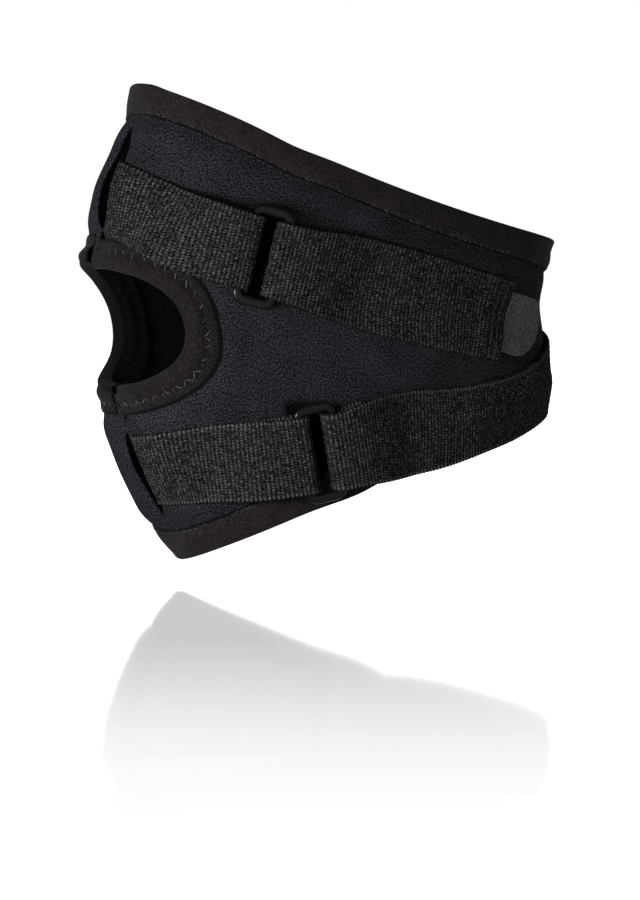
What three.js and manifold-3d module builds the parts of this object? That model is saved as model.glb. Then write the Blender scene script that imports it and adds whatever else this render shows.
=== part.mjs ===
// A patella stabilizing knee brace: a neoprene sleeve cut for a slightly bent knee, tall over the kneecap and short
// behind it, with cloth bindings round its two edges and its kneecap opening. Two elastic straps come out of slots
// in the front seam, turn round flat loops and pull back along one side, each to a hook tab that grips the sleeve.
// Millimetres, +Z up the leg. -X is the front of the knee, -Y the side with the straps, and the origin is the
// middle of the hollow, where the knee sits.
import * as THREE from "three";
import { mergeVertices } from "three/addons/utils/BufferGeometryUtils.js";
import Module from "manifold-3d";

const wasm = await Module();
wasm.setup();

// Sleeve
const FRONT_BOTTOM_Z = -74.8;
const FRONT_TOP_Z = 79.6;
const BACK_BOTTOM_Z = -20.6;
const BACK_TOP_Z = 30;
const BACK_POWER = 0.85;
const FAR_SPAN = 1.2;
const WALL = 4;
const SEAM_GAP = 0.4;
const FIT_GAP = 0.45;
const MIDDLE_LEVEL = 0.5;

// Shallow waves of the sleeve's edges on the strap side: the upper edge dips and the lower edge rises. The waves fade
// with a power of the level, away from their edge.
const UPPER_DIP = { depth: 1.5, girth: 36, width: 24 };
const LOWER_RISE = { depth: 0.9, girth: 26, width: 20 };
const WAVE_POWER = 4;

// Cloth bindings: each is one strip folded over an edge of the sleeve.
const CLOTH = 1;
const TOP_BAND = 10.6;
const BOTTOM_BAND = 10;
const FOLD_CORNER = 0.8;

// Kneecap opening, as finished inside its binding. Its binding is widest at the sides. The far half is sewn a little
// taller and higher than the half on the strap side.
const OPENING_LEVEL = 0.49;
const OPENING_POWER = 2.1;
const OPENING_BAND_SEAM = 9.8;
const OPENING_BAND_SIDE = 11.6;
const NEAR_HALF = { side: 1, depth: 36, halfHeight: 19.2, raise: 0 };
const FAR_HALF = { side: -1, depth: 34.5, halfHeight: 20.2, raise: 1 };

// Straps, loops and hook tabs
const STRAP = 1.4;
const STRAP_REST = 1.8;
const SLOT_WIDTH = 6.6;
const SLOT_FAR = 3;
const TUCK_LENGTH = 11;
const TUCK_GAP = 0.9;
const LOOP_LENGTH = 33.4;
const LOOP_WIDTH = 14.2;
const LOOP_BAR = 2.6;
const LOOP_END = 3.2;
const LOOP_THICK = 2.4;
const LOOP_CORNER = 4.2;
const LOOP_EDGE = 0.5;
const TURN_RADIUS = LOOP_BAR / 2 + FIT_GAP + STRAP / 2;
const LOOP_LIFT = STRAP_REST + STRAP / 2 + TURN_RADIUS;
const RETURN_LENGTH = 12;
const RISE_LENGTH = 22;
const TAB = 1;
const TAB_LIFT = 0.4;
const TAB_WIDTH = 20.6;
const TAB_UNDER = 9;
const TAB_LENGTH = 20;
const TAB_CORNER = 9;

// Steps of the faceted surfaces
const GIRTH_STEPS = 52;
const LEVEL_STEPS = 12;
const EDGE_CROWDING = 0.6;
const OPENING_STEPS = 18;
const PLUG_STEPS = 13;
const ACROSS_STEPS = 4;
const TURN_STEPS = 5;
const STRAP_STEP = 7.5;
const ARC_STEPS = 8 * GIRTH_STEPS;

// One row for each section of the sleeve, from its lower edge, level 0, to its upper edge, level 1. frontX and backX
// are where the section meets the middle plane, halfWidth is its reach to each side, sag lifts its flanks up the leg,
// and frontPower rounds its front: 1 is the end of an ellipse, and less is blunter. farBulge is how far the front
// stands forward on the far side of the seam.
const SECTIONS = [
  { level: 0.0, frontX: -50.8, backX: 80.5, halfWidth: 36, sag: 5.5, frontPower: 1.0, farBulge: 1.2 },
  { level: 0.1, frontX: -58.5, backX: 81, halfWidth: 38.5, sag: 4, frontPower: 0.75, farBulge: 4.4 },
  { level: 0.25, frontX: -69.5, backX: 81.5, halfWidth: 40, sag: 3, frontPower: 0.64, farBulge: 3.4 },
  { level: 0.37, frontX: -74.5, backX: 81.5, halfWidth: 40.5, sag: 2, frontPower: 0.63, farBulge: 1.1 },
  { level: 0.5, frontX: -78.5, backX: 81, halfWidth: 41, sag: 0, frontPower: 0.63, farBulge: 0.3 },
  { level: 0.62, frontX: -79.5, backX: 81, halfWidth: 41.5, sag: -2, frontPower: 0.61, farBulge: 0 },
  { level: 0.78, frontX: -77.5, backX: 82, halfWidth: 41.5, sag: -4.5, frontPower: 0.6, farBulge: 0.3 },
  { level: 0.88, frontX: -70.5, backX: 83.2, halfWidth: 40.3, sag: -6.8, frontPower: 0.67, farBulge: 1.2 },
  { level: 0.95, frontX: -66.5, backX: 83.8, halfWidth: 39, sag: -8.2, frontPower: 0.76, farBulge: 0.3 },
  { level: 1.0, frontX: -66.3, backX: 84, halfWidth: 38.2, sag: -9.2, frontPower: 0.86, farBulge: 0 },
];

// Each strap's middle line: girth runs along the sleeve from the front seam, round the strap side to the back and on.
// slot is the stretch of the seam, in levels, that is left open for the strap. loopGirth is the middle of its loop
// and loopTurn is how far the loop is turned from square to the strap, in degrees. endGirth is where its long piece is
// cut, endLean is how far the cut leans at each edge, and the hook tab goes on from there.
const STRAPS = [
  {
    name: "upper",
    slot: { from: 0.68, to: 0.905 },
    loopGirth: 61.4,
    loopTurn: 2,
    endGirth: 151.4,
    endLean: 1.4,
    path: [
      { girth: -10, level: 0.785, width: 22 },
      { girth: 2, level: 0.774, width: 22.5 },
      { girth: 10, level: 0.759, width: 24.2 },
      { girth: 21, level: 0.742, width: 24 },
      { girth: 40, level: 0.705, width: 25 },
      { girth: 61.4, level: 0.68, width: 24.8 },
      { girth: 76, level: 0.664, width: 26 },
      { girth: 92, level: 0.642, width: 29.4 },
      { girth: 110, level: 0.606, width: 30.4 },
      { girth: 127, level: 0.567, width: 29.4 },
      { girth: 151.4, level: 0.495, width: 27 },
      { girth: 180, level: 0.4, width: 26.5 },
    ],
  },
  {
    name: "lower",
    slot: { from: 0.094, to: 0.285 },
    loopGirth: 70,
    loopTurn: 6.5,
    endGirth: 246,
    endLean: 0,
    path: [
      { girth: -10, level: 0.193, width: 25 },
      { girth: 8, level: 0.189, width: 25.4 },
      { girth: 22, level: 0.184, width: 26 },
      { girth: 40, level: 0.171, width: 26.4 },
      { girth: 57, level: 0.147, width: 25.6 },
      { girth: 70, level: 0.129, width: 24.2 },
      { girth: 78, level: 0.117, width: 25 },
      { girth: 86, level: 0.108, width: 28.4 },
      { girth: 94, level: 0.099, width: 28.8 },
      { girth: 106, level: 0.083, width: 27.8 },
      { girth: 120, level: 0.066, width: 26.6 },
      { girth: 136, level: 0.049, width: 25.2 },
      { girth: 160, level: 0.049, width: 26 },
      { girth: 182, level: 0.112, width: 26.5 },
      { girth: 204, level: 0.22, width: 26.5 },
      { girth: 226, level: 0.33, width: 26 },
      { girth: 246, level: 0.42, width: 27 },
      { girth: 272, level: 0.5, width: 27 },
    ],
  },
];

// Way of an anchor strap through its slot: share of the slot's width from the seam, and share of the rise from the
// inside of the sleeve to the strap's rest on its outside.
const SLOT_WAY = [
  { share: 0, rise: 0 },
  { share: 0.4, rise: 0.11 },
  { share: 0.63, rise: 0.42 },
  { share: 0.82, rise: 0.8 },
  { share: 1.15, rise: 0.975 },
  { share: 1.75, rise: 1 },
];

const NEOPRENE = { color: 0x1b1a20, roughness: 0.92, metalness: 0 };
const BINDING = { color: 0x1d191c, roughness: 0.85, metalness: 0 };
const ELASTIC = { color: 0x1c1c1b, roughness: 0.95, metalness: 0 };
const MOULDED = { color: 0x101011, roughness: 0.35, metalness: 0 };
const HOOK_TAPE = { color: 0x3a3a3b, roughness: 0.9, metalness: 0 };

// Smooth value of a column between a table's rows, and straight on past its ends.
function smooth(rows, along, column, at) {
  const last = rows.length - 1;
  const slope = (i) => {
    const before = rows[Math.max(i - 1, 0)];
    const after = rows[Math.min(i + 1, last)];
    return (after[column] - before[column]) / (after[along] - before[along]);
  };
  if (at <= rows[0][along]) return rows[0][column] + slope(0) * (at - rows[0][along]);
  if (at >= rows[last][along]) return rows[last][column] + slope(last) * (at - rows[last][along]);
  const i = rows.findIndex((row) => row[along] > at) - 1;
  const span = rows[i + 1][along] - rows[i][along];
  const t = (at - rows[i][along]) / span;
  const start = (2 * t - 3) * t * t + 1;
  return (
    start * rows[i][column] +
    (1 - start) * rows[i + 1][column] +
    span * t * (t - 1) * ((t - 1) * slope(i) + t * slope(i + 1))
  );
}

const mix = (a, b, t) => a + (b - a) * t;

function ease(from, to, at) {
  const t = Math.min(Math.max((at - from) / (to - from), 0), 1);
  return t * t * (3 - 2 * t);
}

// Point of the sleeve's outer face. turn is 0 at the front seam and pi at the back, positive on the strap side.
function sectionPoint(turn, level) {
  const value = (column) => smooth(SECTIONS, "level", column, level);
  const frontX = value("frontX");
  const backX = value("backX");
  const frontZ = mix(FRONT_BOTTOM_Z, FRONT_TOP_Z, level);
  const backZ = mix(BACK_BOTTOM_Z, BACK_TOP_Z, level);
  const cos = Math.cos(turn);
  const sin = Math.abs(Math.sin(turn));
  const back = (1 - cos) / 2;
  const halfX = (backX - frontX) / 2;
  const halfZ = (backZ - frontZ) / 2;
  const sag = (value("sag") * sin * sin) / Math.hypot(halfX, halfZ);
  const power = mix(value("frontPower"), BACK_POWER, back);
  const far = Math.min(Math.max(-turn, 0) / FAR_SPAN, 1);
  const bulge = value("farBulge") * Math.sin(Math.PI * Math.sqrt(far)) ** 2;
  return new THREE.Vector3(
    mix(frontX, backX, back) - sag * halfZ - bulge,
    -Math.sign(turn) * value("halfWidth") * sin ** power,
    mix(frontZ, backZ, back) + sag * halfX,
  );
}

// Arc length along the middle section from the seam to each even step of turn.
const ARC = [0];
for (let i = 1; i <= ARC_STEPS; i++) {
  const from = sectionPoint((Math.PI * (i - 1)) / ARC_STEPS, MIDDLE_LEVEL);
  const to = sectionPoint((Math.PI * i) / ARC_STEPS, MIDDLE_LEVEL);
  ARC.push(ARC[i - 1] + from.distanceTo(to));
}
const HALF_GIRTH = ARC[ARC_STEPS];

// Girths of the facets, all the way round from the seam: even steps of turn, so they are closer at the bends.
const GIRTHS = Array.from({ length: GIRTH_STEPS + 1 }, (_, i) => {
  const length = ARC[(2 * ARC_STEPS * Math.min(i, GIRTH_STEPS - i)) / GIRTH_STEPS];
  return 2 * i <= GIRTH_STEPS ? length : 2 * HALF_GIRTH - length;
});

const wave = ({ depth, girth, width }, at) => depth * Math.exp(-(((at - girth) / width) ** 2));

// Point of the outer face at a girth in millimetres from the seam. Past the back it comes round the other side.
function outer(girth, level) {
  const wrapped = girth - 2 * HALF_GIRTH * Math.round(girth / (2 * HALF_GIRTH));
  const length = Math.abs(wrapped);
  let [low, high] = [0, ARC_STEPS];
  while (high - low > 1) {
    const middle = (low + high) >> 1;
    if (ARC[middle] <= length) low = middle;
    else high = middle;
  }
  const step = low + (length - ARC[low]) / (ARC[high] - ARC[low]);
  const rise = wave(LOWER_RISE, wrapped) * (1 - level) ** WAVE_POWER;
  const dip = wave(UPPER_DIP, wrapped) * level ** WAVE_POWER;
  const shifted = level + (rise - dip) / (FRONT_TOP_Z - FRONT_BOTTOM_Z);
  return sectionPoint((Math.sign(wrapped) * Math.PI * step) / ARC_STEPS, shifted);
}

// Directions of growing girth and level on the outer face, and the outward normal.
function grain(girth, level) {
  const reach = 0.5;
  const share = reach / (FRONT_TOP_Z - FRONT_BOTTOM_Z);
  const round = outer(girth + reach, level).sub(outer(girth - reach, level)).divideScalar(2 * reach);
  const up = outer(girth, level + share).sub(outer(girth, level - share)).divideScalar(2 * share);
  return { round, up, normal: new THREE.Vector3().crossVectors(round, up).normalize() };
}

const place = (girth, level, lift) => outer(girth, level).addScaledVector(grain(girth, level).normal, lift);

const height = (girth) => outer(girth, 1).distanceTo(outer(girth, 0));

// Closed mesh of a strip carried from station to station. over and under are the two long sides of the strip's
// section, point against point. The two ends are capped, unless the last station joins the first.
function sweep(stations, { over, under }, point, closed) {
  const positions = [];
  const index = [];
  const ring = [...over, ...[...under].reverse()];
  const sides = ring.length;
  for (const station of stations) {
    for (const corner of ring) positions.push(...point(station, corner).toArray());
  }
  const spans = closed ? stations.length : stations.length - 1;
  for (let i = 0; i < spans; i++) {
    const here = i * sides;
    const next = ((i + 1) % stations.length) * sides;
    for (let j = 0; j < sides; j++) {
      const k = (j + 1) % sides;
      index.push(here + j, next + j, next + k, here + j, next + k, here + k);
    }
  }
  if (!closed) {
    const end = (stations.length - 1) * sides;
    for (let j = 0; j < over.length - 1; j++) {
      const [a, b, c, d] = [j, j + 1, sides - 2 - j, sides - 1 - j];
      index.push(a, b, c, a, c, d);
      index.push(end + a, end + c, end + b, end + a, end + d, end + c);
    }
  }
  const geometry = new THREE.BufferGeometry();
  geometry.setAttribute("position", new THREE.Float32BufferAttribute(positions, 3));
  geometry.setIndex(index);
  return facingOut(geometry);
}

// The same mesh with its faces turned outwards.
function facingOut(geometry) {
  const p = geometry.getAttribute("position");
  const index = geometry.getIndex();
  const [a, b, c] = [new THREE.Vector3(), new THREE.Vector3(), new THREE.Vector3()];
  let volume = 0;
  for (let i = 0; i < index.count; i += 3) {
    a.fromBufferAttribute(p, index.getX(i));
    b.fromBufferAttribute(p, index.getX(i + 1));
    c.fromBufferAttribute(p, index.getX(i + 2));
    volume += a.dot(b.cross(c));
  }
  if (volume < 0) geometry.setIndex(Array.from(index.array).reverse());
  return geometry;
}

function toSolid(geometry) {
  const bare = new THREE.BufferGeometry();
  bare.setAttribute("position", geometry.getAttribute("position"));
  bare.setIndex(geometry.getIndex());
  const merged = mergeVertices(bare);
  return new wasm.Manifold(
    new wasm.Mesh({
      numProp: 3,
      vertProperties: merged.getAttribute("position").array,
      triVerts: new Uint32Array(merged.getIndex().array),
    }),
  );
}

function toGeometry(solid) {
  const mesh = solid.getMesh();
  const geometry = new THREE.BufferGeometry();
  geometry.setAttribute("position", new THREE.BufferAttribute(mesh.vertProperties, mesh.numProp));
  geometry.setIndex(new THREE.BufferAttribute(mesh.triVerts, 1));
  return geometry;
}

function steps(from, to, count) {
  return Array.from({ length: count + 1 }, (_, i) => mix(from, to, i / count));
}

const points = (pairs) => pairs.map(([x, y]) => new THREE.Vector2(x, y));

// Section of a sheet between two lifts, at some steps of x.
function layer(across, top, low) {
  return { over: points(across.map((x) => [x, top])), under: points(across.map((x) => [x, low])) };
}

// Section of a cloth strip folded over an edge. x is the way into the sleeve from its cut edge, y the lift.
function foldedStrip(reach) {
  const side = (gap, corner) => {
    const low = -WALL - gap;
    return points([
      [reach, gap],
      [reach / 2, gap],
      [corner - gap, gap],
      [-gap, gap - corner],
      [-gap, low + corner],
      [corner - gap, low],
      [reach / 2, low],
      [reach, low],
    ]);
  };
  return { over: side(FIT_GAP + CLOTH, FOLD_CORNER), under: side(FIT_GAP, FIT_GAP / 2) };
}

// Outline of the kneecap opening on one side, grown by some margin. angle runs from -90 to 90 degrees.
function openingOutline(half, angle, margin) {
  const at = (a) =>
    new THREE.Vector2(
      half.depth * Math.max(Math.cos(a), 0) ** (2 / OPENING_POWER),
      half.halfHeight * Math.sign(a) * Math.abs(Math.sin(a)) ** (2 / OPENING_POWER),
    );
  const quarter = Math.PI / 2;
  const reach = 0.02;
  const tangent = at(Math.min(angle + reach, quarter)).sub(at(Math.max(angle - reach, -quarter))).normalize();
  const ends = ease(quarter - 4 * reach, quarter, Math.abs(angle));
  const away = new THREE.Vector2(tangent.y * (1 - ends), mix(-tangent.x, Math.sign(angle), ends)).normalize();
  const p = at(angle).addScaledVector(away, margin);
  return { girth: half.side * (SEAM_GAP / 2 + p.x), up: half.raise + p.y };
}

const openingPoint = ({ girth, up }, lift) => place(girth, OPENING_LEVEL + up / height(girth), lift);

// Plug through the wall, from inside the hollow to outside it. Each row is a stretch of girth, from its start to its
// stop, at a level of its own at each end.
function plug(rows) {
  const section = layer(steps(0, 1, PLUG_STEPS), 2 * CLOTH, -WALL - 2 * CLOTH);
  const point = ({ start, stop }, { x, y }) =>
    place(mix(start.girth, stop.girth, x), mix(start.level, stop.level, x), y);
  return toSolid(sweep(rows, section, point, false));
}

function openingPlug() {
  const edge = (half, angle) => {
    const { girth, up } = openingOutline(half, angle, CLOTH + FIT_GAP);
    return { girth, level: OPENING_LEVEL + up / height(girth) };
  };
  const angles = steps(-Math.PI / 2, Math.PI / 2, OPENING_STEPS);
  return plug(angles.map((angle) => ({ start: edge(FAR_HALF, angle), stop: edge(NEAR_HALF, angle) })));
}

function slotPlug({ from, to }) {
  const row = (level) => ({ start: { girth: -SLOT_FAR, level }, stop: { girth: SLOT_WIDTH, level } });
  return plug(steps(from, to, LEVEL_STEPS).map(row));
}

// The neoprene wall, one sheet bent round from one edge of the front seam to the other.
function sleevePanel() {
  const girths = [SEAM_GAP / 2, ...GIRTHS.slice(1, -1), 2 * HALF_GIRTH - SEAM_GAP / 2];
  const crowded = (t) => mix(t, (1 - Math.cos(Math.PI * t)) / 2, EDGE_CROWDING);
  const levels = steps(0, 1, LEVEL_STEPS).map(crowded);
  const wall = layer(levels, 0, -WALL);
  let solid = toSolid(sweep(girths, wall, (girth, { x, y }) => place(girth, x, y), false));
  solid = solid.subtract(openingPlug());
  for (const { slot } of STRAPS) solid = solid.subtract(slotPlug(slot));
  return toGeometry(solid);
}

// Binding round the upper edge, end 1, or the lower edge, end -1.
function edgeBinding(end, width) {
  const edgeLevel = end > 0 ? 1 : 0;
  const strip = foldedStrip(width - CLOTH - FIT_GAP);
  return sweep(
    GIRTHS.slice(0, -1),
    strip,
    (girth, { x, y }) => place(girth, edgeLevel - (end * x) / height(girth), y),
    true,
  );
}

// Binding round one half of the kneecap opening.
function openingBinding(half) {
  const angles = steps(-Math.PI / 2, Math.PI / 2, OPENING_STEPS);
  const edge = CLOTH + FIT_GAP;
  const widening = (OPENING_BAND_SIDE - edge) / (OPENING_BAND_SEAM - edge) - 1;
  const point = (angle, { x, y }) => {
    const into = x > 0 ? x * (1 + widening * Math.cos(angle) ** 2) : x;
    return openingPoint(openingOutline(half, angle, edge + into), y);
  };
  return sweep(angles, foldedStrip(OPENING_BAND_SEAM - edge), point, false);
}

// Frame of a strap at a girth: its middle point, the way along it, across it and out of the sleeve. In the slot the
// strap lies along the seam, and past it the strap turns square to its own path.
function strapFrame(strap, girth) {
  const at = (column, where) => smooth(strap.path, "girth", column, where);
  const level = at("level", girth);
  const reach = 1;
  const slope = (at("level", girth + reach) - at("level", girth - reach)) / (2 * reach);
  const { round, up, normal } = grain(girth, level);
  const along = round.clone().addScaledVector(up, slope).normalize();
  const square = new THREE.Vector3().crossVectors(normal, along);
  const across = up.clone().normalize().lerp(square, ease(SLOT_WIDTH, 4 * SLOT_WIDTH, girth)).normalize();
  return { girth, level, round, up, normal, along, across, width: at("width", girth) };
}

// Flat frames at a strap's loop. The loop is square. The strap keeps its own way along and lies along the loop's bars.
function loopFrames(strap) {
  const { girth, level, along, across, normal } = strapFrame(strap, strap.loopGirth);
  const middle = place(girth, level, LOOP_LIFT);
  const turned = across.clone().applyAxisAngle(normal, (strap.loopTurn * Math.PI) / 180);
  const frame = (way) => new THREE.Matrix4().makeBasis(way, turned, normal).setPosition(middle);
  return { loop: frame(new THREE.Vector3().crossVectors(turned, normal)), strap: frame(along) };
}

const LOOP_FRAMES = new Map(STRAPS.map((strap) => [strap, loopFrames(strap)]));

// Point of a strap: share runs across it from -1 to 1, and lift is measured from the sleeve. Close to its loop the
// strap lies flat in the loop's own frame, so that it turns squarely round the bar.
function strapPoint(strap, girth, share, lift) {
  const frame = strapFrame(strap, girth);
  const shift = (share * frame.width) / 2;
  const a = frame.round.dot(frame.round);
  const b = frame.round.dot(frame.up);
  const c = frame.up.dot(frame.up);
  const p = shift * frame.across.dot(frame.round);
  const q = shift * frame.across.dot(frame.up);
  const det = a * c - b * b;
  const bent = place(girth + (c * p - b * q) / det, frame.level + (a * q - b * p) / det, lift);
  const fromLoop = girth - strap.loopGirth;
  const flat = new THREE.Vector3(fromLoop, shift, lift - LOOP_LIFT).applyMatrix4(LOOP_FRAMES.get(strap).strap);
  return bent.lerp(flat, 1 - ease(LOOP_WIDTH / 2, RISE_LENGTH + LOOP_WIDTH, Math.abs(fromLoop)));
}

// Outline of a strip of even thickness about a middle line. x is girth, y is lift.
function thicken(line, thick) {
  const normals = line.map((_, i) => {
    const before = line[Math.max(i - 1, 0)];
    const after = line[Math.min(i + 1, line.length - 1)];
    const way = after.clone().sub(before).normalize();
    return new THREE.Vector2(-way.y, way.x);
  });
  const over = line.map((p, i) => p.clone().addScaledVector(normals[i], thick / 2));
  const under = line.map((p, i) => p.clone().addScaledVector(normals[i], -thick / 2));
  return { over, under };
}

const restLift = STRAP_REST + STRAP / 2;

// Middle line of a strap that rises to a bar, turns round it and lies back under itself. way is 1 where the strap
// goes on to greater girth, and -1 to smaller.
function turnRoundBar(bar, way) {
  const [top, low] = [LOOP_LIFT + TURN_RADIUS, LOOP_LIFT - TURN_RADIUS];
  const lift = (from) => mix(restLift, top, ease(RISE_LENGTH, LOOP_BAR, from));
  const rise = steps(RISE_LENGTH, LOOP_BAR, TURN_STEPS).map((from) => [bar + way * from, lift(from)]);
  const turn = steps(Math.PI / 2, -Math.PI / 2, TURN_STEPS).map((a) => [
    bar - way * TURN_RADIUS * Math.cos(a),
    LOOP_LIFT + TURN_RADIUS * Math.sin(a),
  ]);
  return points([...rise, ...turn, [bar + way * RETURN_LENGTH, low]]);
}

const barOffset = (LOOP_WIDTH - LOOP_BAR) / 2;

// Girth of a point near a strap's cut end, moved along as the cut leans.
function leaning(strap, girth, share) {
  return girth + strap.endLean * share * ease(strap.endGirth - TAB_LENGTH, strap.endGirth, girth);
}

function strapSolid(strap, line) {
  const shares = steps(-1, 1, ACROSS_STEPS);
  const point = (share, { x, y }) => strapPoint(strap, leaning(strap, x, share), share, y);
  return sweep(shares, thicken(line, STRAP), point, false);
}

// Short piece of a strap: tucked in under the far edge of the seam, out through the slot and on to the loop.
function anchorStrap(strap) {
  const inside = -WALL - TUCK_GAP - STRAP / 2;
  const bar = strap.loopGirth - barOffset;
  const slot = SLOT_WAY.map(({ share, rise }) => [share * SLOT_WIDTH, mix(inside, restLift, rise)]);
  const flatFrom = slot[slot.length - 1][0];
  const flatTo = bar - RISE_LENGTH;
  const rest = steps(flatFrom, flatTo, Math.ceil((flatTo - flatFrom) / STRAP_STEP)).slice(1, -1);
  const flat = rest.map((girth) => [girth, restLift]);
  return strapSolid(strap, [...points([[-TUCK_LENGTH, inside], ...slot, ...flat]), ...turnRoundBar(bar, -1)]);
}

// Long piece of a strap, from its turn round the loop to its cut end.
function longStrap(strap) {
  const bar = strap.loopGirth + barOffset;
  const flatFrom = bar + RISE_LENGTH;
  const rest = steps(strap.endGirth, flatFrom, Math.ceil((strap.endGirth - flatFrom) / STRAP_STEP)).slice(0, -1);
  const flat = points(rest.map((girth) => [girth, restLift]));
  return strapSolid(strap, [...flat, ...turnRoundBar(bar, 1)]);
}

// Hook tab sewn under the cut end of a strap, round at its free corners.
function hookTab(strap) {
  const start = strap.endGirth - TAB_UNDER;
  const end = strap.endGirth + TAB_LENGTH;
  const reach = (girth) => {
    const into = Math.max(girth - (end - TAB_CORNER), 0);
    return TAB_WIDTH / 2 - TAB_CORNER + Math.sqrt(TAB_CORNER ** 2 - into ** 2);
  };
  const straight = steps(start, end - TAB_CORNER, TURN_STEPS);
  const round = steps(0, Math.PI / 2, TURN_STEPS).slice(1);
  const girths = [...straight, ...round.map((a) => end - TAB_CORNER * (1 - Math.sin(a)))];
  const section = layer(steps(-1, 1, ACROSS_STEPS), TAB_LIFT + TAB, TAB_LIFT);
  const point = (girth, { x, y }) => {
    const share = (x * 2 * reach(girth)) / strapFrame(strap, girth).width;
    return strapPoint(strap, leaning(strap, girth, share), share, y);
  };
  return sweep(girths, section, point, false);
}

function roundedRectangle(path, width, length, corner) {
  const [x, y] = [width / 2, length / 2];
  path.moveTo(x, -y + corner);
  path.lineTo(x, y - corner);
  path.absarc(x - corner, y - corner, corner, 0, Math.PI / 2);
  path.lineTo(-x + corner, y);
  path.absarc(-x + corner, y - corner, corner, Math.PI / 2, Math.PI);
  path.lineTo(-x, -y + corner);
  path.absarc(-x + corner, -y + corner, corner, Math.PI, 1.5 * Math.PI);
  path.lineTo(x - corner, -y);
  path.absarc(x - corner, -y + corner, corner, 1.5 * Math.PI, 2 * Math.PI);
  return path;
}

// Flat moulded loop, long across the strap, with rounded edges.
function loopFrame() {
  const grow = LOOP_EDGE;
  const shape = roundedRectangle(
    new THREE.Shape(),
    LOOP_WIDTH - 2 * grow,
    LOOP_LENGTH - 2 * grow,
    LOOP_CORNER - grow,
  );
  const slotWidth = LOOP_WIDTH - 2 * LOOP_BAR + 2 * grow;
  const slotLength = LOOP_LENGTH - 2 * LOOP_END + 2 * grow;
  shape.holes.push(roundedRectangle(new THREE.Path(), slotWidth, slotLength, LOOP_CORNER - LOOP_BAR + grow));
  const depth = LOOP_THICK - 2 * grow;
  const geometry = new THREE.ExtrudeGeometry(shape, {
    depth,
    bevelThickness: grow,
    bevelSize: grow,
    bevelSegments: 1,
    curveSegments: 3,
  });
  return geometry.translate(0, 0, -depth / 2);
}

const brace = new THREE.Group();

function add(name, geometry, finish) {
  const mesh = new THREE.Mesh(geometry, new THREE.MeshStandardMaterial(finish));
  mesh.name = name;
  brace.add(mesh);
  return mesh;
}

add("sleeve_panel", sleevePanel(), NEOPRENE);
add("top_binding", edgeBinding(1, TOP_BAND), BINDING);
add("bottom_binding", edgeBinding(-1, BOTTOM_BAND), BINDING);
add("opening_binding_near", openingBinding(NEAR_HALF), BINDING);
add("opening_binding_far", openingBinding(FAR_HALF), BINDING);
for (const strap of STRAPS) {
  add(strap.name + "_anchor_strap", anchorStrap(strap), ELASTIC);
  add(strap.name + "_loop", loopFrame(), MOULDED).applyMatrix4(LOOP_FRAMES.get(strap).loop);
  add(strap.name + "_long_strap", longStrap(strap), ELASTIC);
  add(strap.name + "_hook_tab", hookTab(strap), HOOK_TAPE);
}

export default brace;
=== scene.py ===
import math
from math import pi
import bpy
import numpy as np
from mathutils import Matrix, Vector


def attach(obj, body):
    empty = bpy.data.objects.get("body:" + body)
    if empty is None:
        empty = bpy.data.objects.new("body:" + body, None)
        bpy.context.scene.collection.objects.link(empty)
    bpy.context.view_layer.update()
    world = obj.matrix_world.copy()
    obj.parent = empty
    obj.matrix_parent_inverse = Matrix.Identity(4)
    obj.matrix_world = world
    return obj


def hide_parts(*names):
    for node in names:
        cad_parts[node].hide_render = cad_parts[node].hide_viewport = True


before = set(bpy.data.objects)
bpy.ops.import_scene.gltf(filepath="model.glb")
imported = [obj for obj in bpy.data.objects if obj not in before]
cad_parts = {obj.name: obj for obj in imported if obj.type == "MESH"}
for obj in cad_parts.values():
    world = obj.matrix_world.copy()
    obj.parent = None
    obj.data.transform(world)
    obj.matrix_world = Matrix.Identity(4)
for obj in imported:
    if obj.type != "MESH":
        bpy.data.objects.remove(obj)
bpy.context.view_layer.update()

MM = 0.001

# Sleeve
FRONT_BOTTOM_Z = -74.8
FRONT_TOP_Z = 79.6
BACK_BOTTOM_Z = -20.6
BACK_TOP_Z = 28.9
BACK_POWER = 0.85
FAR_SPAN = 1.2
WALL = 4
SEAM_GAP = 0.4
MIDDLE_LEVEL = 0.5
EDGE_ROLL = 0.7
EDGE_ROLL_REACH = 1.6
FINE_REACH = 62
FINE_STEPS = 52
COARSE_STEPS = 130
LEVEL_STEPS = 150
ARC_STEPS = 3000
HEIGHT_STEPS = 801
SHARP_ANGLE = 60

# Form of the soft wall beside a binding, where a strap rises over a binding, and the fade of the wall's waves
SWELLING = {"height": 0.35, "beyond": 5, "width": 4}
PINCH = {"depth": 0.45, "width": 2.2}
RISE_BEYOND = 5
RISE_WITHIN = 1
WAVE_FADE = 0.2

# Shallow waves of the sleeve's edges on the strap side, which fade with powers of the level
UPPER_DIP = {"depth": 0.8, "girth": 22, "width": 18}
SECOND_DIP = {"depth": 1, "girth": 67, "width": 10}
LOWER_RISE = {"depth": 0.9, "girth": 26, "width": 20}
LOWER_DROP = {"depth": 3, "girth": 84, "width": 17}
WAVE_POWER = 4
DROP_POWER = 10

# Cloth bindings
CLOTH = 0.8
EDGE_REACH = 1.8
TOP_BAND = 10.6
BOTTOM_BAND = 10
FOLD_DEPTH = 2
FOLD_POWER = 5
BAND_LIFT = 0.6
BAND_CROWN = 0.35
RING_CROWN = 0.9
BAND_EDGE_DROP = 0.1
BAND_EDGE_START = 0.86
BAND_STEP = 0.85
FACE_POINTS = 26
FOLD_POINTS = 13

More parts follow.
